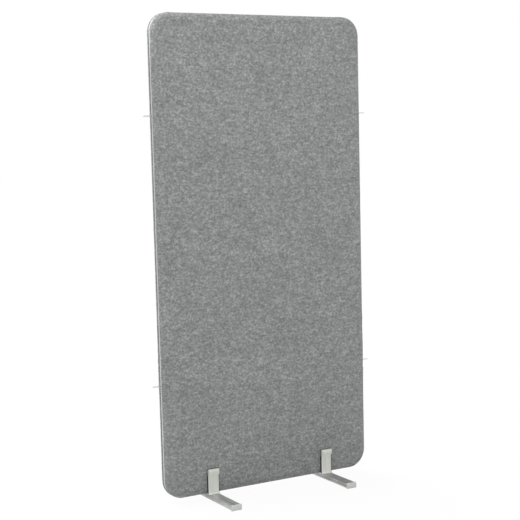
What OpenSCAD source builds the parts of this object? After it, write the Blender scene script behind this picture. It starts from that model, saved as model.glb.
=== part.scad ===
// Free-standing acoustic divider screen: an upholstered panel with rounded
// corners, a light strip round the middle of its edge, four sliding link pins
// and two clamped aluminium feet.
// Millimetres, +Z up, +X along the panel, -Y is the front.
// The origin is on the floor, under the middle of the panel.

/* [Panel] */
// Width of the upholstered panel
panel_w = 800; // [600:10:1400]
// Height of the upholstered panel
panel_h = 1600; // [1400:10:2000]
// Thickness of the upholstered panel
panel_t = 40; // [36:1:60]
// Radius of the panel's four corners, seen from the front
corner_r = 64; // [54:1:120]

/* [Upholstery] */
// Thickness of the fabric cover
cover_t = 1.5; // [1:0.1:2.5]
// Thickness of the padding under the cover
pad_t = 5; // [3:0.5:6]
// Radius of the soft edge between a face and the panel's rim
edge_r = 10; // [8:0.5:12]
// Width of the strip that parts the two covers along the rim
strip_w = 8; // [7:0.5:10]
// Air between the layers
layer_gap = 0.1; // [0.05:0.05:0.3]

/* [Frame] */
// Width of the rails and stiles
rail_w = 45; // [41:1:54]
// Height of the middle rail's centre above the panel's lower edge
mid_rail_z = 800; // [500:10:1100]
// Radius of the frame's dowels
dowel_r = 4; // [3:0.5:5]
// Length of the frame's dowels
dowel_len = 30; // [20:1:34]
// Distance between the two dowels of one joint
dowel_pitch = 22; // [14:1:26]
// Air round a dowel
dowel_gap = 0.05; // [0.02:0.01:0.2]

/* [Link pins] */
// Height of the lower pins above the floor
pin_low_z = 405; // [200:5:700]
// Height of the upper pins above the floor
pin_high_z = 1290; // [950:5:1400]
// Radius of the part of a pin that stands out
pin_r = 2.5; // [2:0.1:2.6]
// How far a pulled-out pin stands out of the rim
pin_out = 30; // [20:1:40]
// Travel of a pin into its sleeve
pin_travel = 28; // [10:1:29]
// Length of the bevel on a pin's tip
pin_tip = 1; // [0.5:0.1:1.5]
// How much thicker, in radius, the guided part of a pin is
pin_step = 0.3; // [0.2:0.05:0.4]
// How far the guided part shows outside the rim
pin_root = 1; // [0.5:0.1:2]
// Radius of the head that keeps a pin in its sleeve
pin_head_r = 3.4; // [3.3:0.1:3.8]
// Length of that head
pin_head_len = 3; // [2:0.5:5]
// Running clearance round the pin and its head, in radius
pin_gap = 0.05; // [0.02:0.01:0.1]
// Outer radius of a sleeve
sleeve_r = 5; // [4.6:0.1:6]
// Thickness of the lip at a sleeve's mouth
sleeve_lip = 2; // [1.5:0.1:3]
// Radius of a sleeve's flange
flange_r = 7; // [6.2:0.1:9]
// Thickness of a sleeve's flange
flange_t = 1; // [0.6:0.1:1.4]
// Spare length behind the head when a pin is pushed in
sleeve_spare = 2; // [1:0.5:4]
// Air round a sleeve in the stile
sleeve_gap = 0.05; // [0.02:0.01:0.2]
// Air round a pin in the edge strip
strip_hole_gap = 0.4; // [0.2:0.1:0.8]

/* [Foot bars] */
// Distance from the panel's side to the middle of a foot
foot_inset = 173; // [150:1:250]
// Length of a foot with its end caps
foot_len = 372; // [240:2:500]
// Width of a foot bar
bar_w = 36; // [34:1:60]
// Height of a foot bar
bar_h = 16; // [14:1:25]
// Wall of a foot bar
bar_wall = 2; // [1.5:0.1:3]
// Radius along the outer edges of a foot bar
bar_edge_r = 1.5; // [0.5:0.1:2.5]
// Width of the groove along each side of a foot bar
groove_w = 1; // [0.5:0.1:2]
// Depth of that groove
groove_d = 0.6; // [0.3:0.1:1]
// Thickness of an end cap's face
cap_t = 3; // [2:0.5:6]
// How far an end cap's face stands out beyond the bar, all round
cap_rim = 1.8; // [0.5:0.1:2]
// Radius of an end cap's upright corners
cap_r = 2.5; // [0.5:0.1:2.9]
// Depth of the plug of an end cap
cap_plug = 12; // [8:1:20]
// Air round the plug of an end cap
cap_gap = 0.2; // [0.1:0.05:0.4]
// Thickness of the glides under a bar
glide_t = 2; // [1:0.5:4]
// Radius of a glide
glide_r = 14; // [8:0.5:18]
// Distance from the end of a foot to the middle of a glide
glide_inset = 24; // [20:1:40]

/* [Brackets] */
// Width of a bracket
bracket_w = 40; // [34:1:50]
// Height of a bracket above its bar
bracket_h = 86; // [70:1:140]
// Thickness of a bracket's plate
plate_t = 5; // [4:0.5:6]
// How far the head of a bracket stands out beyond its plate
head_out = 6; // [4:0.5:10]
// Height of the head
head_h = 13; // [10:1:24]
// Height of the slope under the head
head_slope_h = 9; // [4:1:16]
// Bevel along the head's top edge
head_bevel = 1.5; // [0.5:0.1:2]
// Width of the bevel along each upright edge of the plate
bevel_w = 5; // [3:0.5:8]
// Depth of that bevel
bevel_d = 1.2; // [0.5:0.1:2]
// Length of the toe in front of the plate
toe_len = 8; // [5:0.5:14]
// Thickness of the toe
toe_t = 3; // [2.5:0.5:4]
// Length of the leg under the panel
leg_len = 20; // [18:0.5:21]
// Thickness of the leg under the panel
leg_t = 2; // [2:0.5:4]
// Thickness of the lining between a bracket and the cover
lining_t = 2; // [1:0.5:3]
// Distance from a bracket's edges to its lining
lining_inset = 2; // [1:0.5:5]
// Height of the lining's lower edge above the bar
lining_low = 14; // [13:1:24]
// Distance from a bracket's top to its lining
lining_top = 5; // [2:0.5:10]

/* [Fixings] */
// Radius of a foot screw
screw_r = 2.5; // [2:0.1:2.6]
// Distance between two foot screws along the panel
screw_pitch = 18; // [16:1:26]
// Distance of the foot screws from the panel's middle plane
screw_y = 8; // [7.8:0.1:8.6]
// Depth of a screw in its insert
screw_grip = 11.5; // [8:0.5:12.5]
// Radius of a screw's head
screw_head_r = 4.5; // [4:0.1:5]
// Height of a screw's head
screw_head_h = 3.5; // [2.5:0.1:5]
// Radius of the hexagon socket in a screw's head, at its corners
socket_r = 1.7; // [1.2:0.1:2]
// Depth of that socket
socket_depth = 2; // [1.5:0.1:2.4]
// Air round a screw where it passes through metal
screw_gap = 0.25; // [0.1:0.05:0.5]
// Air round a screw where it passes through cloth and padding
screw_soft_gap = 0.7; // [0.4:0.1:1]
// Air round a screw in its insert
thread_gap = 0.05; // [0.02:0.01:0.1]
// Radius of the holes that let the screws in under a bar
access_r = 5.5; // [5.1:0.1:6.5]
// Radius of an insert
insert_r = 3.5; // [3.2:0.1:3.8]
// Length of an insert
insert_len = 13; // [12.5:0.5:20]
// Air round an insert in the rail
insert_gap = 0.05; // [0.02:0.01:0.1]

/* [Hidden] */

// Round forms have this many sides where they are drawn as polygons
$fn = 64;
// Overrun of every cut
over = 1;
// Sides of a hexagon socket
hex_sides = 6;

// Heights of the foot's layers
bar_top = glide_t + bar_h;
panel_z = bar_top + leg_t;
panel_mid = panel_z + panel_h / 2;

// The frame lies this far inside the panel's outline and faces
frame_inset = cover_t + pad_t + 2 * layer_gap;
frame_w = panel_w / 2 - frame_inset;
frame_h = panel_h / 2 - frame_inset;
frame_r = corner_r - frame_inset;
frame_t = panel_t - 2 * frame_inset;
mid_rail_y = mid_rail_z - panel_h / 2;

// A sleeve holds the lip, the head, its travel and some spare length
sleeve_len = sleeve_lip + pin_head_len + pin_travel + sleeve_spare;
sleeve_bore_r = pin_head_r + pin_gap;
pin_guide_r = pin_r + pin_step;

foot_x = panel_w / 2 - foot_inset;
insert_z = panel_z + frame_inset;

// Lays a flat drawing in the panel's plane, with its depth towards the front
module in_panel() {
    translate([0, 0, panel_mid]) rotate([90, 0, 0]) children();
}

// The same for the rear half
module in_panel_rear() {
    in_panel() mirror([0, 0, 1]) children();
}

// Moves a foot's piece to the left (-1) or right (1) foot
module at_foot(side) {
    translate([side * foot_x, 0, 0]) children();
}

// Turns a piece of the rear half to the front (-1) or leaves it (1)
module at_face(face) {
    mirror([0, (1 - face) / 2, 0]) children();
}

// Puts a piece along +X from the frame's rim at the left (-1) or right (1)
module at_rim(side, z) {
    mirror([(1 - side) / 2, 0, 0]) translate([frame_w, 0, z]) rotate([0, 90, 0]) children();
}

// A rectangle with four round corners, by its half sizes
module round_rect(half_w, half_h, r) {
    square([2 * half_w, 2 * (half_h - r)], center = true);
    square([2 * (half_w - r), 2 * half_h], center = true);
    for (sx = [-1, 1], sy = [-1, 1])
        translate([sx * (half_w - r), sy * (half_h - r)]) circle(r = r);
}

// Section of a soft edge: width from the panel's inside, height from the strip
module edge_section(reach, depth, r) {
    intersection() {
        square([reach, depth]);
        union() {
            square([reach - r, depth]);
            square([reach, depth - r]);
            translate([reach - r, depth - r]) circle(r = r);
        }
    }
}

// Section of a layer: its outer edge round, its inner edge round or square
module layer_section(reach, depth, r, t, inner_r) {
    difference() {
        edge_section(reach, depth, r);
        translate([-over, -over])
            if (inner_r > 0) edge_section(reach - t + over, depth - t + over, inner_r);
            else square([reach - t + over, depth - t + over]);
    }
}

// One soft layer: a flat face whose edge turns back to the strip all round
module soft_layer(inset, t, r, inner_r) {
    half_w = panel_w / 2 - inset;
    half_h = panel_h / 2 - inset;
    round_r = corner_r - inset;
    rim = strip_w / 2;
    depth = panel_t / 2 - inset - rim;
    flat_w = half_w - round_r;
    flat_h = half_h - round_r;
    translate([-flat_w, -flat_h, rim + depth - t]) cube([2 * flat_w, 2 * flat_h, t]);
    for (sx = [0, 1]) mirror([sx, 0, 0]) {
        translate([flat_w, flat_h, rim]) rotate([90, 0, 0])
            linear_extrude(2 * flat_h) layer_section(round_r, depth, r, t, inner_r);
        for (sy = [0, 1]) mirror([0, sy, 0])
            translate([flat_w, flat_h, rim])
                rotate_extrude(angle = 90) layer_section(round_r, depth, r, t, inner_r);
    }
    for (sy = [0, 1]) mirror([0, sy, 0])
        translate([-flat_w, flat_h, rim]) rotate([90, 0, 90])
            linear_extrude(2 * flat_w) layer_section(round_r, depth, r, t, inner_r);
}

// Places of the foot screws, both faces of both feet
module at_screws(side) {
    for (dx = [-1, 1], dy = [-1, 1])
        translate([side * foot_x + dx * screw_pitch / 2, dy * screw_y, 0]) children();
}

// Holes through the soft layers for the screws of both feet
module soft_screw_holes() {
    for (side = [-1, 1]) at_screws(side)
        translate([0, 0, panel_z - over])
            cylinder(r = screw_r + screw_soft_gap, h = frame_inset + 2 * over);
}

// Padding and cover of one half, with the screw holes in the lower edge
module padding(face) {
    color("gainsboro") difference() {
        at_face(face) in_panel_rear()
            soft_layer(cover_t + layer_gap, pad_t, edge_r - cover_t - layer_gap, 0);
        soft_screw_holes();
    }
}

module cover(face) {
    color("gray") difference() {
        at_face(face) in_panel_rear() soft_layer(0, cover_t, edge_r, edge_r - cover_t);
        soft_screw_holes();
    }
}

// The strip round the rim, with a hole for each pin
module edge_strip() {
    inner = frame_inset - layer_gap;
    color("lightgray") difference() {
        in_panel() translate([0, 0, -strip_w / 2]) linear_extrude(strip_w) difference() {
            round_rect(panel_w / 2, panel_h / 2, corner_r);
            round_rect(panel_w / 2 - inner, panel_h / 2 - inner, corner_r - inner);
        }
        for (side = [-1, 1], z = [pin_low_z, pin_high_z]) at_rim(side, z)
            cylinder(r = pin_guide_r + strip_hole_gap, h = frame_inset + over);
    }
}

// A pair of dowels across a joint, along the X axis of the drawing
module dowel_pair(gap) {
    for (dy = [-1, 1])
        translate([-dowel_len / 2 - gap, dy * dowel_pitch / 2, 0]) rotate([0, 90, 0])
            cylinder(r = dowel_r + gap, h = dowel_len + 2 * gap);
}

// Dowels of all joints: four at each corner and two at each end of the middle rail
module dowels(gap) {
    in_panel() for (sx = [0, 1]) mirror([sx, 0, 0]) {
        translate([frame_w - rail_w, mid_rail_y, 0]) dowel_pair(gap);
        for (sy = [0, 1]) mirror([0, sy, 0]) {
            translate([frame_w - frame_r, frame_h - rail_w / 2, 0]) dowel_pair(gap);
            translate([frame_w - rail_w / 2, frame_h - frame_r, 0])
                rotate([0, 0, 90]) dowel_pair(gap);
        }
    }
}

module frame_dowels() {
    color("burlywood") dowels(0);
}

// A frame piece: its outline, as thick as the frame, less the dowel holes
module frame_piece() {
    difference() {
        in_panel() translate([0, 0, -frame_t / 2]) linear_extrude(frame_t) children();
        dowels(dowel_gap);
    }
}

// Upright at the left (-1) or right (1), with a blind bore for each sleeve
module frame_stile(side) {
    color("tan") difference() {
        frame_piece() mirror([(1 - side) / 2, 0]) translate([frame_w - rail_w, frame_r - frame_h])
            square([rail_w, 2 * (frame_h - frame_r)]);
        for (z = [pin_low_z, pin_high_z]) at_rim(side, z) {
            translate([0, 0, -sleeve_len - sleeve_spare])
                cylinder(r = sleeve_r + sleeve_gap, h = sleeve_len + sleeve_spare + over);
            translate([0, 0, -flange_t - sleeve_gap])
                cylinder(r = flange_r + sleeve_gap, h = flange_t + sleeve_gap + over);
        }
    }
}

module frame_rail_top() {
    color("tan") frame_piece() translate([frame_r - frame_w, frame_h - rail_w])
        square([2 * (frame_w - frame_r), rail_w]);
}

module frame_rail_middle() {
    color("tan") frame_piece() translate([0, mid_rail_y])
        square([2 * (frame_w - rail_w), rail_w], center = true);
}

// The lower rail holds the inserts of both feet
module frame_rail_bottom() {
    color("tan") difference() {
        frame_piece() translate([frame_r - frame_w, -frame_h])
            square([2 * (frame_w - frame_r), rail_w]);
        for (side = [-1, 1]) at_screws(side) translate([0, 0, insert_z - over])
            cylinder(r = insert_r + insert_gap, h = insert_len + insert_gap + over);
    }
}

// A quarter-round block at the left or right (sx) and top or bottom (sy)
module frame_corner(sx, sy) {
    color("tan") frame_piece()
        mirror([(1 - sx) / 2, 0]) mirror([0, (1 - sy) / 2])
            translate([frame_w - frame_r, frame_h - frame_r]) intersection() {
                circle(r = frame_r);
                square(frame_r);
            }
}

module rail_inserts() {
    color("goldenrod") for (side = [-1, 1]) at_screws(side) translate([0, 0, insert_z])
        difference() {
            cylinder(r = insert_r, h = insert_len);
            translate([0, 0, -over])
                cylinder(r = screw_r + thread_gap, h = insert_len + 2 * over);
        }
}

// Half of the absorber, above (1) or below (-1) the middle rail
module absorber(sy) {
    outer = frame_h - rail_w - layer_gap;
    inner = mid_rail_y * sy + rail_w / 2 + layer_gap;
    half_w = frame_w - rail_w - layer_gap;
    color("khaki") in_panel() translate([0, 0, -frame_t / 2]) linear_extrude(frame_t)
        mirror([0, (1 - sy) / 2]) difference() {
            translate([-half_w, inner]) square([2 * half_w, outer - inner]);
            for (sx = [0, 1]) mirror([sx, 0])
                translate([frame_w - frame_r - layer_gap, frame_h - frame_r - layer_gap])
                    square(frame_r);
        }
}

// A flanged sleeve whose lip guides the pin and keeps its head in
module link_sleeve(side, z) {
    color("silver") at_rim(side, z) difference() {
        union() {
            translate([0, 0, -sleeve_len]) cylinder(r = sleeve_r, h = sleeve_len);
            translate([0, 0, -flange_t]) cylinder(r = flange_r, h = flange_t);
        }
        translate([0, 0, -sleeve_len - over])
            cylinder(r = sleeve_bore_r, h = sleeve_len - sleeve_lip + over);
        translate([0, 0, -sleeve_lip - over])
            cylinder(r = pin_guide_r + pin_gap, h = sleeve_lip + 2 * over);
    }
}

// A link pin, pulled out, as the screen stands ready to be linked
module link_pin(side, z) {
    head_z = -sleeve_lip - pin_gap;
    root_z = frame_inset + pin_root;
    tip_z = frame_inset + pin_out;
    color("whitesmoke") at_rim(side, z) {
        translate([0, 0, head_z - pin_head_len]) cylinder(r = pin_head_r, h = pin_head_len);
        translate([0, 0, head_z]) cylinder(r = pin_guide_r, h = root_z - head_z);
        translate([0, 0, root_z]) cylinder(r = pin_r, h = tip_z - pin_tip - root_z);
        translate([0, 0, tip_z - pin_tip]) cylinder(r1 = pin_r, r2 = pin_r - pin_tip, h = pin_tip);
    }
}

// A hollow bar, grooved along its sides, with screw holes in its top and bottom walls
module foot_bar(side) {
    color("silver") difference() {
        at_foot(side) translate([0, foot_len / 2 - cap_t, glide_t + bar_h / 2]) rotate([90, 0, 0])
            linear_extrude(foot_len - 2 * cap_t) difference() {
                round_rect(bar_w / 2, bar_h / 2, bar_edge_r);
                square([bar_w - 2 * bar_wall, bar_h - 2 * bar_wall], center = true);
                for (sx = [-1, 1])
                    translate([sx * bar_w / 2, 0]) square([2 * groove_d, groove_w], center = true);
            }
        at_screws(side) translate([0, 0, glide_t - over])
            cylinder(r = access_r, h = bar_wall + 2 * over);
        at_screws(side) translate([0, 0, bar_top - bar_wall - over])
            cylinder(r = screw_r + screw_gap, h = bar_wall + 2 * over);
    }
}

// An end cap: a face with round upright corners and a plug inside the bar
module foot_cap(side, face) {
    plug_w = bar_w - 2 * bar_wall - 2 * cap_gap;
    plug_h = bar_h - 2 * bar_wall - 2 * cap_gap;
    face_w = bar_w + 2 * cap_rim;
    seat = foot_len / 2 - cap_t;
    round_r = min(cap_r, cap_t - cap_gap);
    color("silver") at_foot(side) at_face(face) {
        translate([0, seat, glide_t - cap_rim]) linear_extrude(bar_h + 2 * cap_rim) {
            translate([-face_w / 2, 0]) square([face_w, cap_t - round_r]);
            translate([round_r - face_w / 2, 0]) square([face_w - 2 * round_r, cap_t]);
            for (sx = [-1, 1])
                translate([sx * (face_w / 2 - round_r), cap_t - round_r]) intersection() {
                    circle(r = round_r);
                    translate([-round_r, 0]) square([2 * round_r, round_r]);
                }
        }
        translate([-plug_w / 2, seat - cap_plug, glide_t + bar_wall + cap_gap])
            cube([plug_w, cap_plug + cap_t / 2, plug_h]);
    }
}

// Side view of a bracket, from the panel's face outwards and up from the bar
module bracket_section() {
    back = lining_t;
    front = lining_t + plate_t;
    crown = front + head_out;
    toe_end = front + toe_len;
    polygon([
        [back, 0], [front, 0],
        [front, bracket_h - head_h - head_slope_h], [crown, bracket_h - head_h],
        [crown, bracket_h - head_bevel], [crown - head_bevel, bracket_h],
        [back, bracket_h]
    ]);
    translate([back - leg_len, 0]) square([leg_len + plate_t / 2, leg_t]);
    translate([front - plate_t / 2, 0]) square([toe_len + plate_t / 2 - toe_t / 2, toe_t]);
    translate([toe_end - toe_t / 2, toe_t / 2]) circle(r = toe_t / 2);
}

// A clamp bracket: plate with bevelled edges, thick head, toe and drilled leg
module bracket(side, face) {
    front = panel_t / 2 + lining_t + plate_t;
    color("silver") difference() {
        at_foot(side) at_face(face) difference() {
            translate([-bracket_w / 2, panel_t / 2, bar_top]) rotate([90, 0, 90])
                linear_extrude(bracket_w) bracket_section();
            for (sx = [0, 1]) mirror([sx, 0, 0])
                translate([bracket_w / 2, front, bar_top + toe_t])
                    linear_extrude(bracket_h - head_h - head_slope_h - toe_t)
                        polygon([[-bevel_w, 0], [0, -bevel_d], [over, -bevel_d], [over, over], [-bevel_w, over]]);
        }
        at_screws(side) translate([0, 0, bar_top - over])
            cylinder(r = screw_r + screw_gap, h = leg_t + 2 * over);
    }
}

// Soft lining between a bracket and the cover
module lining(side, face) {
    width = bracket_w - 2 * lining_inset;
    color("dimgray") at_foot(side) at_face(face)
        translate([-width / 2, panel_t / 2, bar_top + lining_low])
            cube([width, lining_t, bracket_h - lining_low - lining_top]);
}

// Four screws that pull the bar, the brackets' legs and the panel together
module foot_screws(side) {
    seat = bar_top - bar_wall;
    color("dimgray") at_screws(side) difference() {
        union() {
            translate([0, 0, seat]) cylinder(r = screw_r, h = insert_z + screw_grip - seat);
            translate([0, 0, seat - screw_head_h]) cylinder(r = screw_head_r, h = screw_head_h);
        }
        translate([0, 0, seat - screw_head_h - over])
            cylinder(r = socket_r, h = socket_depth + over, $fn = hex_sides);
    }
}

module glides(side) {
    color("dimgray") at_foot(side) for (face = [-1, 1])
        translate([0, face * (foot_len / 2 - glide_inset), 0]) cylinder(r = glide_r, h = glide_t);
}

frame_stile(-1);  // frame_stile_left
frame_stile(1);  // frame_stile_right
frame_rail_top();
frame_rail_middle();
frame_rail_bottom();
frame_corner(-1, 1);  // frame_corner_top_left
frame_corner(1, 1);  // frame_corner_top_right
frame_corner(-1, -1);  // frame_corner_bottom_left
frame_corner(1, -1);  // frame_corner_bottom_right
frame_dowels();
rail_inserts();
absorber(1);  // absorber_upper
absorber(-1);  // absorber_lower
padding(-1);  // padding_front
padding(1);  // padding_rear
cover(-1);  // cover_front
cover(1);  // cover_rear
edge_strip();
link_sleeve(-1, pin_high_z);  // link_sleeve_left_upper
link_sleeve(-1, pin_low_z);  // link_sleeve_left_lower
link_sleeve(1, pin_high_z);  // link_sleeve_right_upper
link_sleeve(1, pin_low_z);  // link_sleeve_right_lower
link_pin(-1, pin_high_z);  // link_pin_left_upper
link_pin(-1, pin_low_z);  // link_pin_left_lower
link_pin(1, pin_high_z);  // link_pin_right_upper
link_pin(1, pin_low_z);  // link_pin_right_lower
foot_bar(-1);  // foot_bar_left
foot_cap(-1, -1);  // foot_cap_left_front
foot_cap(-1, 1);  // foot_cap_left_rear
bracket(-1, -1);  // bracket_left_front
bracket(-1, 1);  // bracket_left_rear
lining(-1, -1);  // lining_left_front
lining(-1, 1);  // lining_left_rear
foot_screws(-1);  // foot_screws_left
glides(-1);  // glides_left
foot_bar(1);  // foot_bar_right
foot_cap(1, -1);  // foot_cap_right_front
foot_cap(1, 1);  // foot_cap_right_rear
bracket(1, -1);  // bracket_right_front
bracket(1, 1);  // bracket_right_rear
lining(1, -1);  // lining_right_front
lining(1, 1);  // lining_right_rear
foot_screws(1);  // foot_screws_right
glides(1);  // glides_right
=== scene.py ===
# %% [markdown]
# # A free-standing acoustic divider screen
#
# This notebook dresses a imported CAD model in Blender. The screen is an upholstered panel
# with round corners, held upright by two flat aluminium feet. The CAD model gives every
# size and place. Here the cloth gets its fullness, the metal its fine edges, and each
# surface a material that is made from nodes.

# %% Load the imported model
import math

import bmesh
import bpy
from mathutils import Matrix, Vector


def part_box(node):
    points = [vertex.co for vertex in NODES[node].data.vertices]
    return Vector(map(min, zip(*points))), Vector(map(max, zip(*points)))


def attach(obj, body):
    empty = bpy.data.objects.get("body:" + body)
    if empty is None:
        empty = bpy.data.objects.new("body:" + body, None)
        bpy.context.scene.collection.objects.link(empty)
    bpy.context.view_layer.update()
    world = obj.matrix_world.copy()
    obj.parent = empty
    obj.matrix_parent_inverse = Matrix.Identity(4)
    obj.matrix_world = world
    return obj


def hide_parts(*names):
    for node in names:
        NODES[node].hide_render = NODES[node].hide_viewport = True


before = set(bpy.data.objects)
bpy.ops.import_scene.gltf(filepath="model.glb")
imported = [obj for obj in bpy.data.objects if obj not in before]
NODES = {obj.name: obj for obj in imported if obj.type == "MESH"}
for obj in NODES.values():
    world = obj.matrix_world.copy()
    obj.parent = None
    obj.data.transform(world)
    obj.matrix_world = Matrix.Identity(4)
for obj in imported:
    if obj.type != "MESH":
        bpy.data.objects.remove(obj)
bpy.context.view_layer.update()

# %% [markdown]
# ## Camera
#
# The camera stands at the left of the screen and a little above its middle, far away,
# with a long lens. One could push it about until the view looks right. Here its place and
# turn were worked out instead, by matching the panel's corners, its feet and its pins with
# the picture, which settles the sizes at the same time. The picture's middle isn't the
# lens's middle, so the lens is shifted a little, as an architect's camera is.

# %% Camera
SENSOR_MM = 36
PICTURE_PX = 520
FOCAL_PX = 1253.5
LENS_MIDDLE_PX = (262.38, 275.05)
CAMERA_PLACE = Vector((-2.1331, -3.6999, 1.2233))
YAW, PITCH, ROLL = (math.radians(degrees) for degrees in (29.942, 6.407, -1.411))

ahead = Vector((math.sin(YAW) * math.cos(PITCH), math.cos(YAW) * math.cos(PITCH), -math.sin(PITCH)))
level_right = Vector((math.cos(YAW), -math.sin(YAW), 0))
level_up = level_right.cross(ahead)
camera_right = level_right * math.cos(ROLL) + level_up * math.sin(ROLL)
camera_up = level_up * math.cos(ROLL) - level_right * math.sin(ROLL)

lens = bpy.data.cameras.new("camera")
lens.sensor_width = SENSOR_MM
lens.lens = FOCAL_PX / PICTURE_PX * SENSOR_MM
lens.shift_x = (PICTURE_PX / 2 - LENS_MIDDLE_PX[0]) / PICTURE_PX
lens.shift_y = (LENS_MIDDLE_PX[1] - PICTURE_PX / 2) / PICTURE_PX
camera = bpy.data.objects.new("camera", lens)
bpy.context.scene.collection.objects.link(camera)
turn = Matrix((camera_right, camera_up, -ahead)).transposed()
camera.matrix_world = Matrix.Translation(CAMERA_PLACE) @ turn.to_4x4()
bpy.context.scene.camera = camera
print(f"lens {lens.lens:.1f} mm, shift {lens.shift_x:.4f} {lens.shift_y:.4f}")

# %% Colours as they are written
bpy.context.scene.view_settings.view_transform = "Standard"

# %% [markdown]
# ## Tools for materials
#
# A finish could be a photo wrapped round the object, but a photo repeats, and it blurs from
# near by. Here every finish is a small network of nodes, built on noise whose size is
# given in real millimetres. One function turns a colour from a paint chart, written in hex,
# into the linear numbers that the renderer works with. A second one adds a node with its
# settings and links. The last one builds a whole finish: it adds up some noise patterns,
# colours the sum, and lets it change the gloss and the relief a little.

# %% Colours and nodes
def linear(hex_colour):
    """The linear RGBA of an sRGB colour that is written as six hex digits."""
    shares = [int(hex_colour[i:i + 2], 16) / 255 for i in (0, 2, 4)]
    return [s / 12.92 if s <= 0.04045 else ((s + 0.055) / 1.055) ** 2.4 for s in shares] + [1.0]


def add(tree, kind, inputs=None, stops=(), **settings):
    """Adds a node. Each input is given a value, or the socket that feeds it."""
    made = tree.nodes.new(kind)
    for name, value in settings.items():
        setattr(made, name, value)
    for socket, value in (inputs or {}).items():
        if isinstance(value, bpy.types.NodeSocket):
            tree.links.new(value, made.inputs[socket])
        else:
            made.inputs[socket].default_value = value
    if stops:
        band = made.color_ramp.elements
        while len(band) < len(stops):
            band.new(1.0)
        for element, (position, hex_colour) in zip(band, stops):
            element.position = position
            element.color = linear(hex_colour)
    return made


print("white is", linear("ffffff"), "and mid grey", linear("808080"))

# %% A finish from noise patterns
TONE_MIDDLE, TONE_SPAN = 0.5, 0.15


def make_finish(name, patterns, colours, roughness, relief_mm, relief_strength=0.5, **shader):
    """Builds a material.

    Each pattern is a noise: how long its blots are in mm along x, y and z, how many finer
    layers it has and how strong they are, and its shares of the colour and of the relief.
    Two colours stand a little below and above the middle tone. More are given as stops.
    """
    material = bpy.data.materials.new(name)
    material.use_nodes = True
    tree = material.node_tree
    tree.nodes.clear()
    place = add(tree, "ShaderNodeTexCoord").outputs["Object"]
    tone, relief = TONE_MIDDLE, 0.0
    for blot_mm, layers, layer_strength, colour_share, relief_share in patterns:
        spread = add(tree, "ShaderNodeMapping", {"Vector": place, "Scale": [1000 / mm for mm in blot_mm]})
        noise = add(tree, "ShaderNodeTexNoise", {"Vector": spread.outputs["Vector"], "Scale": 1.0,
                                                 "Detail": layers, "Roughness": layer_strength})
        swing = add(tree, "ShaderNodeMath", {0: noise.outputs["Fac"], 1: 0.5}, operation="SUBTRACT")
        if colour_share:
            tone = add(tree, "ShaderNodeMath", {0: swing.outputs["Value"], 1: colour_share, 2: tone},
                       operation="MULTIPLY_ADD").outputs["Value"]
        if relief_share:
            relief = add(tree, "ShaderNodeMath", {0: swing.outputs["Value"], 1: relief_share, 2: relief},
                         operation="MULTIPLY_ADD").outputs["Value"]
    low, high = TONE_MIDDLE - TONE_SPAN, TONE_MIDDLE + TONE_SPAN
    stops = zip((low, high), colours) if isinstance(colours[0], str) else colours
    colour = add(tree, "ShaderNodeValToRGB", {"Fac": tone}, stops=list(stops))
    gloss = add(tree, "ShaderNodeMapRange", {"Value": tone, "From Min": low, "From Max": high,
                                             "To Min": roughness[0], "To Max": roughness[1]})
    bumps = add(tree, "ShaderNodeBump", {"Height": relief, "Distance": relief_mm / 1000,
                                         "Strength": relief_strength})
    sockets = {"Base Color": colour.outputs["Color"], "Roughness": gloss.outputs["Result"],
               "Normal": bumps.outputs["Normal"]}
    sockets.update({socket.replace("_", " "): value for socket, value in shader.items()})
    main = add(tree, "ShaderNodeBsdfPrincipled", sockets)
    add(tree, "ShaderNodeOutputMaterial", {"Surface": main.outputs["BSDF"]})
    print(name, "is made of", len(tree.nodes), "nodes")
    return material

# %% [markdown]
# ## Cloth: melange wool-look upholstery fabric
#
# The cover is a woven polyester that looks like felted wool. Its yarns are spun from light
# and dark fibres, so from a few metres the grey breaks up into small flecks, a little
# wider than tall. Real yarns could be modelled one by one, but there are more than a
# thousand across the screen. Noise gives the same look: flecks, thicker places in the
# yarn, faint clouds, and close by the threads. A fuzz of fibre ends, the sheen, brightens
# the cloth where one looks along it.

# %% Cloth material
# A fleck is a length of yarn that shows one colour, 4 or 5 mm. It is drawn as coarse as it
# needs to be to show from 4 m away, and so are the threads, which are really 1 mm apart.
# Noise is weakest on whole multiples of its period, and the cloth's face lies at
# y = 20 mm, so no y period divides 20.
FLECK_MM = (7.1, 6.0, 6.0)
SLUB_MM = (22, 14, 6)
CLOUD_MM = (90, 42, 70)
THREAD_MM = (1.6, 1.6, 0.9)

cloth = make_finish(
    "melange_wool_look_cloth",
    patterns=((FLECK_MM, 2.5, 0.65, 1.0, 0.6), (SLUB_MM, 1.0, 0.5, 0.30, 0.0),
              (CLOUD_MM, 1.0, 0.5, 0.10, 0.0), (THREAD_MM, 1.0, 0.5, 0.25, 0.6)),
    colours=((0.28, "696b6a"), (0.45, "7f8180"), (0.56, "8b8d8c"), (0.72, "a6a8a6")),
    roughness=(0.97, 0.93), relief_mm=0.8, relief_strength=0.7,
    Sheen_Weight=0.2, Sheen_Roughness=0.5, Specular_IOR_Level=0.25,
)

# %% [markdown]
# ## Metal: anodised aluminium
#
# Bars and brackets are lengths of extruded aluminium. The press leaves fine lines along
# the length, which the matt etching before anodising softens but doesn't remove. They
# blur a reflection more across the lines than along them. A shader can do that with one
# anisotropy value, but it would need a direction on every face. Stretched noise in the
# relief does it too, and it runs along the bar by itself. Broader streaks run the same
# way, some a little lighter and some a little darker.

# %% Aluminium materials
LINE_MM = 0.7
STREAK_MM = 6
LINE_LENGTH_MM = 400
GRAIN_MM = (1.2, 1.2, 1.2)
BLOT_MM = (60, 60, 60)


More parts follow.
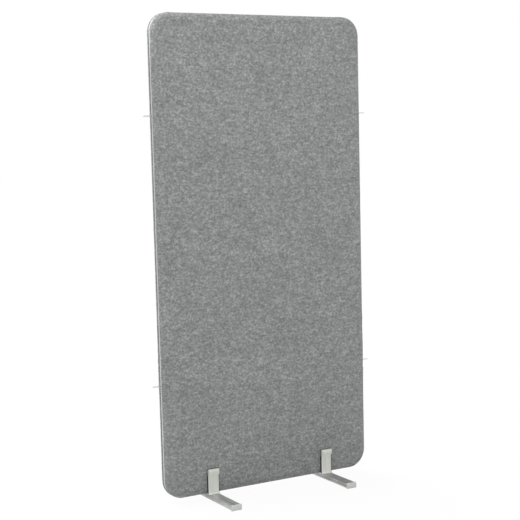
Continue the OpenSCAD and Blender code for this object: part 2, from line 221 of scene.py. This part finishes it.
def anodised_aluminium(name, along, colours, roughness, metallic):
    """Anodised aluminium whose press lines run along x, y or z."""
    line_mm, streak_mm = ([LINE_LENGTH_MM if axis == along else width for axis in "xyz"]
                          for width in (LINE_MM, STREAK_MM))
    return make_finish(
        name,
        patterns=((line_mm, 2.0, 0.5, 0.0, 0.7), (streak_mm, 2.0, 0.5, 0.7, 0.0),
                  (GRAIN_MM, 1.0, 0.5, 0.0, 0.3), (BLOT_MM, 1.0, 0.5, 0.3, 0.0)),
        colours=colours, roughness=roughness, relief_mm=0.05, Metallic=metallic,
    )


# The etched skin scatters light by itself, so it is less metallic than bare metal. The bars
# still mirror the panel softly. The brackets are etched deeper: a matt, chalky and slightly
# warm white metal that is as bright on its shaded sides.
bar_metal = anodised_aluminium("satin_anodised_aluminium_bar", "y", ("8a8b8a", "cccdcb"),
                               (0.38, 0.46), 0.74)
bracket_metal = anodised_aluminium("matt_anodised_aluminium_bracket", "z", ("c9cbc4", "dcdcd7"),
                                   (0.44, 0.52), 0.35)

# %% [markdown]
# ## Plastics, steel, rubber, wood and felt
#
# The strip round the rim and the caps of the bars are light grey plastic. The link pins
# are bright plated steel, the glides and linings matt rubber. Nobody sees the frame of
# pine, the fibre slabs or the felt, but they are part of the screen, so they get their own
# finishes too. One noise is enough for each of them: what differs is its size, the two
# colours, the gloss and how deep the relief is.

# %% Plastics
# Extruded PVC: smooth and faintly streaked, with a soft shine
strip_plastic = make_finish("extruded_pvc_light_grey", (((9, 9, 9), 2.0, 0.5, 1.0, 1.0),),
                            ("bcbebc", "c4c6c4"), (0.40, 0.44), 0.05)
# Moulded ABS: a fine spark-eroded grain that breaks up the shine
cap_plastic = make_finish("moulded_abs_light_grey", (((0.8, 0.8, 0.8), 2.0, 0.5, 1.0, 1.0),),
                          ("c4c6c2", "cdcfcb"), (0.42, 0.48), 0.05)

# %% Steel and brass
# Chromium-plated drawn steel: a nearly clear mirror
pin_steel = make_finish("bright_plated_steel", (((3, 3, 3), 2.0, 0.5, 1.0, 1.0),),
                        ("d8d9d8", "e2e3e3"), (0.14, 0.18), 0.01, Metallic=1.0)
# Zinc plating: a cool, slightly cloudy metal
zinc_steel = make_finish("zinc_plated_steel", (((2, 2, 2), 2.0, 0.5, 1.0, 1.0),),
                         ("9fa2a6", "b4b6b8"), (0.32, 0.40), 0.02, Metallic=1.0)
# Turned brass: yellow, with fine rings left by the lathe
insert_brass = make_finish("turned_brass", (((9, 9, 0.4), 2.0, 0.5, 1.0, 1.0),),
                           ("b8964a", "c9a85c"), (0.27, 0.33), 0.02, Metallic=1.0)

# %% Rubber, felt and fibre
# Black nitrile rubber: matt, with a dusty bloom
black_rubber = make_finish("matt_nitrile_rubber", (((1.5, 1.5, 1.5), 2.0, 0.5, 1.0, 1.0),),
                           ("1b1b1c", "29292a"), (0.75, 0.85), 0.08)
# Needled polyester felt: white, soft and hairy
needled_felt = make_finish("needled_polyester_felt", (((1.4, 1.4, 1.4), 2.0, 0.5, 1.0, 1.0),),
                           ("d2d2cd", "e4e4df"), (0.95, 1.0), 0.5, Sheen_Weight=0.3)
# Pressed fibre slab: coarse and dull
fibre_slab = make_finish("pressed_fibre_slab", (((3, 1.2, 3), 4.0, 0.5, 1.0, 1.0),),
                         ("a39c80", "bdb797"), (0.95, 1.0), 0.6)

# %% Wood
PINE = ("c99f68", "ddb984")
YEAR_RING_MM, GRAIN_LENGTH_MM = 6, 700


def planed_pine(name, along):
    """Planed softwood: long streaks of early and late wood along the grain."""
    ring_mm = [GRAIN_LENGTH_MM if axis == along else YEAR_RING_MM for axis in "xyz"]
    return make_finish(name, ((ring_mm, 4.0, 0.5, 1.0, 1.0),), PINE, (0.56, 0.64), 0.06)


pine_upright = planed_pine("planed_pine_upright", "z")
pine_across = planed_pine("planed_pine_across", "x")
# Turned beech: even, pinkish, with short flecks along the dowel
beech = make_finish("turned_beech", (((40, 2, 2), 2.0, 0.5, 1.0, 1.0),),
                    ("c79a6e", "d6ad82"), (0.52, 0.58), 0.03)
print(len(bpy.data.materials), "materials")

# %% Materials on the CAD nodes
FINISH_OF = (
    ("frame_stile", pine_upright), ("frame_rail", pine_across), ("frame_corner", pine_across),
    ("frame_dowels", beech), ("rail_inserts", insert_brass), ("absorber", fibre_slab),
    ("padding", needled_felt), ("cover", cloth), ("edge_strip", strip_plastic),
    ("link_sleeve", zinc_steel), ("link_pin", pin_steel), ("foot_bar", bar_metal),
    ("foot_cap", cap_plastic), ("bracket", bracket_metal), ("lining", black_rubber),
    ("foot_screws", zinc_steel), ("glides", black_rubber),
)
for name, solid in NODES.items():
    finish = next(material for start, material in FINISH_OF if name.startswith(start))
    solid.data.materials.clear()
    solid.data.materials.append(finish)
print("finished", len(NODES), "nodes")

# %% [markdown]
# ## Tools for modelling
#
# Every new piece is made as by hand: add a box at its size and place, go to edit mode,
# select some faces or edges, and extrude, bevel or move them. With no window there is no
# mouse, so the selecting is done by a test on where a face or an edge is and which way
# it looks. These few helpers do the clicking. More of them come where a piece needs them.

# %% Add a box
# A direction counts as along an axis when its share on that axis is above this
ALONG = 0.9


def deselect_all():
    if bpy.context.mode != "OBJECT":
        bpy.ops.object.mode_set(mode="OBJECT")
    bpy.ops.object.select_all(action="DESELECT")


def activate(piece):
    """Makes a piece the only one that is selected, and the active one."""
    deselect_all()
    bpy.context.view_layer.objects.active = piece
    piece.select_set(True)


def add_box(name, low, high):
    """A box from its low corner to its high one, with its place in its mesh."""
    deselect_all()
    middle = [(a + b) / 2 for a, b in zip(low, high)]
    bpy.ops.mesh.primitive_cube_add(size=1, location=middle)
    piece = bpy.context.object
    piece.name = piece.data.name = name
    piece.scale = [b - a for a, b in zip(low, high)]
    bpy.ops.object.transform_apply(location=True, rotation=True, scale=True)
    return piece

# %% Select by a test
def edit(piece, kind="FACE"):
    """Opens a piece in edit mode with nothing selected."""
    activate(piece)
    bpy.ops.object.mode_set(mode="EDIT")
    bpy.ops.mesh.select_mode(type=kind)
    bpy.ops.mesh.select_all(action="DESELECT")


def pick(piece, kind, test):
    """Selects what passes the test.

    The test gets a vertex's place, an edge's middle and direction, or a face's middle and normal.
    """
    mesh = bmesh.from_edit_mesh(piece.data)
    bpy.ops.mesh.select_all(action="DESELECT")
    chosen = 0
    for part in {"VERT": mesh.verts, "EDGE": mesh.edges, "FACE": mesh.faces}[kind]:
        if kind == "VERT":
            good = test(part.co)
        elif kind == "EDGE":
            a, b = (v.co for v in part.verts)
            good = test((a + b) / 2, (b - a).normalized())
        else:
            good = test(part.calc_center_median(), part.normal)
        if good:
            part.select_set(True)
            chosen += 1
    mesh.select_flush_mode()
    bmesh.update_edit_mesh(piece.data)
    return chosen


def close_edit():
    bpy.ops.object.mode_set(mode="OBJECT")

# %% Bevel, apply and smooth
def bevel_picked(piece, test, width, segments):
    """Bevels the edges that pass the test."""
    edit(piece, "EDGE")
    pick(piece, "EDGE", test)
    bpy.ops.mesh.bevel(offset=width, segments=segments, affect="EDGES")
    close_edit()


def apply_modifiers(piece):
    activate(piece)
    for modifier in list(piece.modifiers):
        bpy.ops.object.modifier_apply(modifier=modifier.name)


def smooth(piece, degrees):
    """Shades a piece smooth where its faces meet at less than that angle."""
    activate(piece)
    bpy.ops.object.shade_smooth_by_angle(angle=math.radians(degrees))

# %% Hand a piece over
def finish_piece(piece, material, replaced):
    """Gives a piece its material, lets it ride on the screen and stand for its nodes."""
    piece.data.materials.clear()
    piece.data.materials.append(material)
    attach(piece, "screen")
    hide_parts(*replaced)
    print(piece.name, len(piece.data.polygons), "faces, stands for", replaced)

# %% [markdown]
# ## The padded covers
#
# Each face of the screen is a cloth pulled tight over 5 mm of felt. It is flat in the
# middle, rounds over at the rim, and disappears in the groove between the two covers. The
# clamp brackets press it in, so a soft crease runs round each plate. A box with beveled
# edges would miss that crease and the slight fullness. A cloth simulation gives both: start
# from a shell of the panel's size, hold its back edge and the places behind the plates,
# let a little air pressure swell the rest, and keep only the first millimetre or two of it.

# %% Sizes of the covers
PANEL_LOW, PANEL_HIGH = (Vector(corner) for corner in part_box("cover_front"))
CORNER_R = 0.064
# The rim rounds over 26 mm of the face and 10 mm of the side, and tucks in at the groove
RIM_WIDE, RIM_DEEP, RIM_STEPS = 0.026, 0.010, 8
RIM_FULLNESS = 0.0008
TUCK_WIDE, TUCK_DEEP, TUCK_STEPS = 0.003, 0.004, 3
CORNER_SEGMENTS = 20
print("cover from", PANEL_LOW[:], "to", PANEL_HIGH[:])

# %% The shell of the front cover
def inset_along_curve(piece, side, wide, deep, steps):
    """Insets the face on one side in steps that follow a quarter of an ellipse."""
    edit(piece)
    pick(piece, "FACE", lambda middle, normal: normal.y * side > ALONG)
    for step in range(steps):
        before, after = (math.radians(90 * n / steps) for n in (step, step + 1))
        bpy.ops.mesh.inset(thickness=wide * (math.cos(before) - math.cos(after)),
                           depth=deep * (math.sin(after) - math.sin(before)))
    close_edit()


cover = add_box(
    "cover_front_padded",
    (PANEL_LOW.x - RIM_FULLNESS, PANEL_LOW.y + RIM_DEEP, PANEL_LOW.z - RIM_FULLNESS),
    (PANEL_HIGH.x + RIM_FULLNESS, PANEL_HIGH.y - TUCK_DEEP, PANEL_HIGH.z + RIM_FULLNESS),
)
bevel_picked(cover, lambda middle, way: abs(way.y) > ALONG, CORNER_R + RIM_FULLNESS, CORNER_SEGMENTS)
inset_along_curve(cover, -1, RIM_WIDE, RIM_DEEP, RIM_STEPS)
inset_along_curve(cover, 1, TUCK_WIDE, TUCK_DEEP, TUCK_STEPS)
print(len(cover.data.polygons), "faces in the plain shell")

# %% Even cells for the simulation
CLOTH_CELL = 0.005
# The flat back of the shell: what looks back and lies this near its rearmost plane
BACK_FACING, BACK_BAND = 0.7, 0.002
cover.data.remesh_voxel_size = CLOTH_CELL
activate(cover)
bpy.ops.object.voxel_remesh()
edit(cover, "FACE")
back_y = PANEL_HIGH.y
pick(cover, "FACE", lambda middle, normal: normal.y > BACK_FACING and middle.y > back_y - BACK_BAND)
bpy.ops.mesh.delete(type="FACE")
close_edit()
print(len(cover.data.vertices), "cloth points")

# %% What holds the cloth
PLATES = [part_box(name) for name in NODES if name.startswith("bracket_") and name.endswith("_front")]
# The rubber behind each plate stands out round it by this much
BEAD = 0.0015


def behind_a_plate(point):
    """Is this point of the cloth behind one of the two front plates or the rubber round it?"""
    return any(low.x - BEAD < point.x < high.x + BEAD and point.z < high.z + BEAD
               for low, high in PLATES) and point.y < PANEL_LOW.y + RIM_DEEP / 2


held = cover.vertex_groups.new(name="held")
start = [v.co.copy() for v in cover.data.vertices]
outward = [v.normal.copy() for v in cover.data.vertices]
held.add([i for i, p in enumerate(start) if p.y > back_y - TUCK_WIDE or behind_a_plate(p)], 1.0, "REPLACE")
print(len([1 for p in start if behind_a_plate(p)]), "points held behind the plates")

# %% Fill the cover
SIM_FRAMES = 20
SIM_STEPS = 5
CLOTH_WEIGHT, CLOTH_STIFFNESS, CLOTH_BENDING = 0.3, 15, 0.5
AIR_PRESSURE = 0.4
GROWTH = 0.01
blown = cover.modifiers.new("Cloth", "CLOTH")
blown.settings.quality = SIM_STEPS
blown.settings.mass = CLOTH_WEIGHT
blown.settings.tension_stiffness = blown.settings.compression_stiffness = CLOTH_STIFFNESS
blown.settings.bending_stiffness = CLOTH_BENDING
blown.settings.vertex_group_mass = "held"
blown.settings.use_pressure = True
blown.settings.uniform_pressure_force = AIR_PRESSURE
blown.settings.effector_weights.gravity = 0
blown.settings.shrink_min = -GROWTH
blown.point_cache.frame_start, blown.point_cache.frame_end = 1, SIM_FRAMES
for number in range(1, SIM_FRAMES + 1):
    bpy.context.scene.frame_set(number)
apply_modifiers(cover)
bpy.context.scene.frame_set(1)
print("simulated", SIM_FRAMES, "frames")

# %% Keep the cloth on its felt
# The felt doesn't give way inward, so only what swells out counts, and never by much
SWELL = 0.0016
largest = 0
for vertex, rest, normal in zip(cover.data.vertices, start, outward):
    swell = max(0, (vertex.co - rest).dot(normal))
    largest = max(largest, swell)
    vertex.co = rest + normal * SWELL * math.tanh(swell / SWELL)
print(f"the cloth swelled by up to {largest * 1000:.1f} mm, kept under {SWELL * 1000:.1f} mm")

# %% Close the back of the cover
edit(cover, "VERT")
bpy.ops.mesh.select_non_manifold(extend=False)
bpy.ops.mesh.edge_face_add()
bpy.ops.mesh.select_all(action="SELECT")
bpy.ops.mesh.normals_make_consistent(inside=False)
close_edit()
cover.vertex_groups.clear()
smooth(cover, 60)
finish_piece(cover, cloth, ["cover_front", "padding_front"])

# %% The rear cover is the front one's mirror image
def copy_piece(piece, name, mirror_x=False, mirror_y=False):
    """A copy with its own mesh, mirrored in its mesh."""
    deselect_all()
    twin = piece.copy()
    twin.data = piece.data.copy()
    twin.name = twin.data.name = name
    for key in [key for key in twin.keys() if key.startswith("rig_")]:
        del twin[key]
    bpy.context.scene.collection.objects.link(twin)
    twin.parent = None
    twin.data.transform(Matrix.Diagonal((-1 if mirror_x else 1, -1 if mirror_y else 1, 1, 1)))
    if mirror_x != mirror_y:
        twin.data.flip_normals()
    return twin


rear_cover = copy_piece(cover, "cover_rear_padded", mirror_y=True)
finish_piece(rear_cover, cloth, ["cover_rear", "padding_rear"])

# %% [markdown]
# ## The strip round the rim
#
# The two covers end in a groove, and a pale extruded plastic strip closes it. From the
# side it is the bright line round the panel. It could be a small profile swept along a
# curve. A slab a little smaller than the panel is quicker and just as exact: its corners are
# rounded, its faces inset and bridged, which leaves a ring, and its outer shoulders are
# beveled to the slight crown of an extruded strip.

# %% Edge strip
STRIP_LOW, STRIP_HIGH = (Vector(corner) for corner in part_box("edge_strip"))
# It lies a little deeper than the swollen cloth on both sides of it
STRIP_RECESS = 0.0015
STRIP_DEPTH = 0.005
STRIP_SHOULDER = 0.0008
STRIP_SEGMENTS = 24
strip_low = Vector((STRIP_LOW.x + STRIP_RECESS, STRIP_LOW.y, STRIP_LOW.z + STRIP_RECESS))
strip_high = Vector((STRIP_HIGH.x - STRIP_RECESS, STRIP_HIGH.y, STRIP_HIGH.z - STRIP_RECESS))
strip_r = CORNER_R - STRIP_RECESS
strip = add_box("edge_strip_extruded", strip_low, strip_high)
bevel_picked(strip, lambda middle, way: abs(way.y) > ALONG, strip_r, STRIP_SEGMENTS)
edit(strip)
pick(strip, "FACE", lambda middle, normal: abs(normal.y) > ALONG)
bpy.ops.mesh.inset(thickness=STRIP_DEPTH, use_even_offset=True)
bpy.ops.mesh.bridge_edge_loops()
close_edit()
print(len(strip.data.polygons), "faces in the plain ring")

# %% Its shoulders
def on_the_outer_rim(middle, way):
    """Is this an edge of the strip's outer surface, along its run?"""
    reach_x = strip_high.x - abs(middle.x)
    reach_z = min(strip_high.z - middle.z, middle.z - strip_low.z)
    corner = Vector((max(0, strip_r - reach_x), max(0, strip_r - reach_z)))
    depth = strip_r - corner.length if corner.x > 0 and corner.y > 0 else min(reach_x, reach_z)
    return depth < STRIP_DEPTH / 2 and abs(way.y) < 0.1


bevel_picked(strip, on_the_outer_rim, STRIP_SHOULDER, 3)
smooth(strip, 50)
finish_piece(strip, strip_plastic, ["edge_strip"])

# %% [markdown]
# ## The clamp brackets
#
# Four equal brackets hold the panel in its feet. Each is a plate with a thick head that
# slopes out of it, a toe on the bar and a leg under the panel. It is cut from an extruded
# length, so its faces are flat and its edges are just broken. Its side could be drawn as an
# outline and extruded, but then the two upright edges of the plate, which are planed off,
# would be hard to get. So one box becomes the left front bracket by cuts, extrusions and
# moved edges, and the others are mirrored copies.

# %% Bracket sizes
BRACKET_LOW, BRACKET_HIGH = (Vector(corner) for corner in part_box("bracket_left_front"))
LINING_LOW, LINING_HIGH = (Vector(corner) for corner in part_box("lining_left_front"))
TOE_LENGTH, TOE_THICK, TOE_NOSE = 0.008, 0.003, 0.00135
LEG_THICK = 0.002
HEAD_OUT, HEAD_HEIGHT, SLOPE_HEIGHT, HEAD_BEVEL = 0.006, 0.013, 0.009, 0.0015
PLANED_WIDE, PLANED_DEEP, RUN_OUT = 0.005, 0.0012, 0.001
BROKEN_EDGE = 0.0004
HAIR = 1e-5
plate_back = LINING_LOW.y
plate_front = BRACKET_LOW.y + TOE_LENGTH
toe_top = BRACKET_LOW.z + TOE_THICK
head_low = BRACKET_HIGH.z - HEAD_HEIGHT
slope_low = head_low - SLOPE_HEIGHT
print(f"plate from y {plate_front:.4f} to {plate_back:.4f}, head above z {head_low:.4f}")

# %% Cut, move and extrude
def cut(piece, place, normal):
    """Cuts a piece's faces along a plane and leaves it whole."""
    edit(piece)
    bpy.ops.mesh.select_all(action="SELECT")
    bpy.ops.mesh.bisect(plane_co=place, plane_no=normal)
    close_edit()


def move_picked(piece, kind, test, by):
    """Moves the vertices, edges or faces that pass the test."""
    edit(piece, kind)
    pick(piece, kind, test)
    bpy.ops.transform.translate(value=by)
    close_edit()


def extrude_picked(piece, test, by):
    """Extrudes the faces that pass the test, as one region."""
    edit(piece)
    pick(piece, "FACE", test)
    bpy.ops.mesh.extrude_region_move(TRANSFORM_OT_translate={"value": by})
    close_edit()


def soften_edges(piece, width, segments=2, degrees=35):
    """Rounds every sharp edge a little with a bevel modifier, and shades the piece smooth."""
    round_off = piece.modifiers.new("Bevel", "BEVEL")
    round_off.width, round_off.segments = width, segments
    round_off.limit_method, round_off.angle_limit = "ANGLE", math.radians(degrees)
    apply_modifiers(piece)
    smooth(piece, degrees)

# %% Plate and head of the left front bracket
bracket = add_box(
    "bracket_left_front_milled",
    (BRACKET_LOW.x, plate_front, BRACKET_LOW.z),
    (BRACKET_HIGH.x, plate_back, BRACKET_HIGH.z),
)
for height in (toe_top, toe_top + RUN_OUT, slope_low - RUN_OUT, head_low):
    cut(bracket, (0, 0, height), (0, 0, 1))
for side in (BRACKET_LOW.x + PLANED_WIDE, BRACKET_HIGH.x - PLANED_WIDE):
    cut(bracket, (side, 0, 0), (1, 0, 0))

# The head stands out, and the edge under it comes down to make the slope
extrude_picked(bracket, lambda middle, normal: normal.y < -ALONG and middle.z > head_low, (0, -HEAD_OUT, 0))
move_picked(bracket, "VERT", lambda p: abs(p.y - plate_front) < HAIR and abs(p.z - head_low) < HAIR,
            (0, 0, -SLOPE_HEIGHT))
bevel_picked(bracket, lambda middle, way: abs(middle.y - plate_front + HEAD_OUT) < HAIR
             and abs(middle.z - BRACKET_HIGH.z) < HAIR, HEAD_BEVEL, 1)

# The two upright edges of the plate are planed off
move_picked(bracket, "VERT", lambda p: abs(p.y - plate_front) < HAIR
            and toe_top + HAIR < p.z < slope_low - HAIR
            and min(abs(p.x - BRACKET_LOW.x), abs(p.x - BRACKET_HIGH.x)) < HAIR, (0, PLANED_DEEP, 0))
print(len(bracket.data.polygons), "faces in the plate and its head")

# %% Its toe and leg
# The toe goes forward along the bar and has a round nose
extrude_picked(bracket, lambda middle, normal: normal.y < -ALONG and middle.z < toe_top, (0, -TOE_LENGTH, 0))
bevel_picked(bracket, lambda middle, way: abs(middle.y - BRACKET_LOW.y) < HAIR and abs(way.x) > ALONG,
             TOE_NOSE, 3)

# The leg goes back under the panel
cut(bracket, (0, 0, BRACKET_LOW.z + LEG_THICK), (0, 0, 1))
extrude_picked(bracket, lambda middle, normal: normal.y > ALONG and middle.z < BRACKET_LOW.z + LEG_THICK,
               (0, BRACKET_HIGH.y - plate_back, 0))
soften_edges(bracket, BROKEN_EDGE)
finish_piece(bracket, bracket_metal, ["bracket_left_front"])

# %% The other three brackets
OTHER_THREE = (("left", "rear"), ("right", "front"), ("right", "rear"))
for side, face in OTHER_THREE:
    twin = copy_piece(bracket, f"bracket_{side}_{face}_milled",
                      mirror_x=side == "right", mirror_y=face == "rear")
    finish_piece(twin, bracket_metal, [f"bracket_{side}_{face}"])

# %% [markdown]
# ## The rubber linings
#
# A strip of rubber lies between each plate and the cloth. A dark line runs beside each plate and above its
# head, and it is mostly shade in the crease where the plate presses the cloth. The picture shows a dark
# line beside each plate, and rubber that stands up along the plate's sides is one likely reason for it.
# Here the strip is moulded as a shallow tray with a lip of black rubber along both sides of the plate, and
# round the head only a bead of it shows. That dark rubber stands in for the crease's shade, so it is partly
# a real rubber edge and partly painted shade. A soft-body simulation could squeeze the bead out, but it is
# so thin that a box a little wider than the plate does as well, with the two lips extruded from its front.

# %% Left front lining
LIP = plate_back - plate_front - PLANED_DEEP
RUBBER_EDGE = 0.0006
# Black rubber a bead wider than the plate: partly real rubber, partly painted shade for the crease round it
lining = add_box(
    "lining_left_front_squeezed",
    (BRACKET_LOW.x - BEAD, LINING_LOW.y, toe_top),
    (BRACKET_HIGH.x + BEAD, LINING_HIGH.y, BRACKET_HIGH.z + BEAD),
)
for side in (BRACKET_LOW.x, BRACKET_HIGH.x):
    cut(lining, (side, 0, 0), (1, 0, 0))
cut(lining, (0, 0, slope_low), (0, 0, 1))
# The two lips: black rubber along the plate's sides, partly painted shade for the crease beside the plate
extrude_picked(lining, lambda middle, normal: normal.y < -ALONG and middle.z < slope_low
               and not BRACKET_LOW.x < middle.x < BRACKET_HIGH.x, (0, -LIP, 0))
bevel_picked(lining, lambda middle, way: abs(way.x) > ALONG and middle.z > BRACKET_HIGH.z
             or abs(way.z) > ALONG and not BRACKET_LOW.x - HAIR < middle.x < BRACKET_HIGH.x + HAIR,
             RUBBER_EDGE, 2)
smooth(lining, 50)
print(f"lips {LIP * 1000:.1f} mm high along a plate {(plate_back - plate_front) * 1000:.1f} mm thick")
finish_piece(lining, black_rubber, ["lining_left_front"])

# %% The other three linings
for side, face in OTHER_THREE:
    twin = copy_piece(lining, f"lining_{side}_{face}_squeezed",
                      mirror_x=side == "right", mirror_y=face == "rear")
    finish_piece(twin, black_rubber, [f"lining_{side}_{face}"])

# %% [markdown]
# ## End caps of the bars
#
# A moulded cap closes each end of a bar and stands a little out round it. Its corners are
# round, its front edges softly broken, and a plug behind it grips the inside of the bar.
# Two boxes could make it, but one box whose back is inset and extruded leaves no hidden
# faces between the cap and its plug.

# %% Left front cap
CAP_LOW, CAP_HIGH = (Vector(corner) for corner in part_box("foot_cap_left_front"))
BAR_LOW = Vector(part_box("foot_bar_left")[0])
CAP_CORNER, CAP_EDGE = 0.0025, 0.0007
BAR_WALL, PLUG_PLAY = 0.002, 0.0002
seat = BAR_LOW.y
cap = add_box("foot_cap_left_front_moulded", CAP_LOW, (CAP_HIGH.x, seat, CAP_HIGH.z))
bevel_picked(cap, lambda middle, way: abs(way.z) > ALONG and abs(middle.y - CAP_LOW.y) < HAIR, CAP_CORNER, 5)
rim = BAR_LOW.x - CAP_LOW.x + BAR_WALL + PLUG_PLAY
edit(cap)
pick(cap, "FACE", lambda middle, normal: normal.y > ALONG)
bpy.ops.mesh.inset(thickness=rim)
bpy.ops.mesh.extrude_region_move(TRANSFORM_OT_translate={"value": (0, CAP_HIGH.y - seat, 0)})
close_edit()
soften_edges(cap, CAP_EDGE, degrees=40)
finish_piece(cap, cap_plastic, ["foot_cap_left_front"])

# %% The other three caps
for side, face in OTHER_THREE:
    twin = copy_piece(cap, f"foot_cap_{side}_{face}_moulded",
                      mirror_x=side == "right", mirror_y=face == "rear")
    finish_piece(twin, cap_plastic, [f"foot_cap_{side}_{face}"])

# %% [markdown]
# ## The absorber slabs
#
# Two fibre slabs fill the frame. They are cut with a knife, so their edges are straight but
# soft, and two corners of each are cut off to clear the frame's corner blocks. Nobody sees
# them until a cover comes off, so a box with two wide bevels and soft edges will do.

# %% Absorber slabs
BLOCK_HIGH = Vector(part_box("frame_corner_top_left")[1])
SLAB_EDGE = 0.003
for name, outer in (("absorber_upper", 1), ("absorber_lower", -1)):
    low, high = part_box(name)
    block = BLOCK_HIGH.x - low[0]
    far_z = high[2] if outer > 0 else low[2]
    slab = add_box(f"{name}_slab", low, high)
    bevel_picked(slab, lambda middle, way: abs(way.y) > ALONG and abs(middle.z - far_z) < HAIR,
                 2 * block + SLAB_EDGE, 1)
    soften_edges(slab, SLAB_EDGE, segments=3)
    finish_piece(slab, fibre_slab, [name])

# %% [markdown]
# ## Floor, background and light
#
# The screen stands in a white studio. More light would make the floor white, but it would
# burn out the metal too. So the floor is pale paper, and the paper and the room glow only
# for the eye and for mirrors, which leaves a weak shadow. Two huge soft lights, one
# overhead and one behind, light the whole floor evenly. A softbox near the top makes the
# screen a little brighter there, a narrow spot beside it catches the rim at one corner,
# and the pale room does the rest.

# %% Floor
FLOOR_SIZE = 60
# How much of the shaded paper shows through the glow, to the eye and in a mirror
SHADOW_SHARE = 0.08
MIRRORED_SHADOW_SHARE = 0.5
deselect_all()
bpy.ops.mesh.primitive_plane_add(size=FLOOR_SIZE, location=(0, 0, 0))
floor = bpy.context.object
floor.name = "studio_floor"
# Uncoated white paper: dull, with a hardly visible cloudiness
paper = make_finish("matt_white_paper_cove", (((300, 300, 300), 2.0, 0.5, 1.0, 1.0),),
                    ("e1e1e1", "e3e3e3"), (0.98, 1.0), 0.05)
tree = paper.node_tree
main = next(n for n in tree.nodes if n.type == "BSDF_PRINCIPLED")
output = next(n for n in tree.nodes if n.type == "OUTPUT_MATERIAL")
path = add(tree, "ShaderNodeLightPath").outputs
seen = add(tree, "ShaderNodeMath", {0: path["Is Camera Ray"], 1: path["Is Transmission Ray"]},
           operation="MAXIMUM")
seen = add(tree, "ShaderNodeMath", {0: seen.outputs["Value"], 1: 1 - SHADOW_SHARE}, operation="MULTIPLY")
mirrored = add(tree, "ShaderNodeMath", {0: path["Is Glossy Ray"], 1: 1 - MIRRORED_SHADOW_SHARE},
               operation="MULTIPLY")
share = add(tree, "ShaderNodeMath", {0: seen.outputs["Value"], 1: mirrored.outputs["Value"]},
            operation="MAXIMUM")
glow = add(tree, "ShaderNodeEmission", {"Color": linear("ffffff"), "Strength": 1.0})
both = add(tree, "ShaderNodeMixShader", {0: share.outputs["Value"], 1: main.outputs["BSDF"],
                                         2: glow.outputs["Emission"]})
tree.links.new(both.outputs["Shader"], output.inputs["Surface"])
floor.data.materials.append(paper)
print("floor", FLOOR_SIZE, "m wide")

# %% World
WORLD_LIGHT = 0.5
world = bpy.data.worlds.new("white_studio")
bpy.context.scene.world = world
world.use_nodes = True
tree = world.node_tree
tree.nodes.clear()
path = add(tree, "ShaderNodeLightPath").outputs
seen = add(tree, "ShaderNodeMath", {0: path["Is Camera Ray"], 1: path["Is Glossy Ray"]}, operation="MAXIMUM")
seen = add(tree, "ShaderNodeMath", {0: seen.outputs["Value"], 1: path["Is Transmission Ray"]},
           operation="MAXIMUM")
strength = add(tree, "ShaderNodeMapRange", {"Value": seen.outputs["Value"], "To Min": WORLD_LIGHT,
                                            "To Max": 1.0})
sky = add(tree, "ShaderNodeBackground", {"Color": linear("ffffff"), "Strength": strength.outputs["Result"]})
add(tree, "ShaderNodeOutputWorld", {"Surface": sky.outputs["Background"]})
print("the room lights at", WORLD_LIGHT)

# %% Two sky panels
PANEL_DEGREES = 60


def hang(name, lamp_data, way_from, place=(0, 0, 0)):
    """Hangs a lamp at a place, shining away from where its light comes from."""
    lamp = bpy.data.objects.new(name, lamp_data)
    bpy.context.scene.collection.objects.link(lamp)
    lamp.location = place
    lamp.rotation_mode = "QUATERNION"
    lamp.rotation_quaternion = (-Vector(way_from)).to_track_quat("-Z", "Y")


def add_sky_panel(name, strength, way_from):
    """A huge far soft source: a sun that is many degrees wide."""
    source = bpy.data.lights.new(name, "SUN")
    source.energy = strength
    source.angle = math.radians(PANEL_DEGREES)
    hang(name, source, way_from)


OVERHEAD = 1.6
OVERHEAD_FROM = (-0.2, -0.3, 1.0)
BACK = 2.2
BACK_FROM = (-0.35, 0.7, 1.0)
add_sky_panel("overhead_light", OVERHEAD, OVERHEAD_FROM)
add_sky_panel("back_light", BACK, BACK_FROM)

# %% A softbox and a spot
TOP_BOX_WATT = 5.0
TOP_BOX_SIZE = 1.0
TOP_BOX_PLACE = (-0.5, -0.8, 2.5)
TOP_BOX_FROM = (-0.3, -0.8, 1.2)
top_box = bpy.data.lights.new("top_softbox", "AREA")
top_box.shape = "SQUARE"
top_box.size = TOP_BOX_SIZE
top_box.energy = TOP_BOX_WATT
hang("top_softbox", top_box, TOP_BOX_FROM, place=TOP_BOX_PLACE)

# The spot hangs in the plane of the panel, so that it lights the upper left rim and no face
CORNER_SPOT_WATT = 110
CORNER_SPOT_DEGREES = 9
CORNER_SPOT_SIZE = 0.05
CORNER_SPOT_PLACE = (-2.0, 0.05, 2.75)
CORNER_SPOT_FROM = (-1.62, 0.05, 1.13)
corner_spot = bpy.data.lights.new("corner_spot", "SPOT")
corner_spot.energy = CORNER_SPOT_WATT
corner_spot.spot_size = math.radians(CORNER_SPOT_DEGREES)
corner_spot.spot_blend = 1.0
corner_spot.shadow_soft_size = CORNER_SPOT_SIZE
hang("corner_spot", corner_spot, CORNER_SPOT_FROM, place=CORNER_SPOT_PLACE)
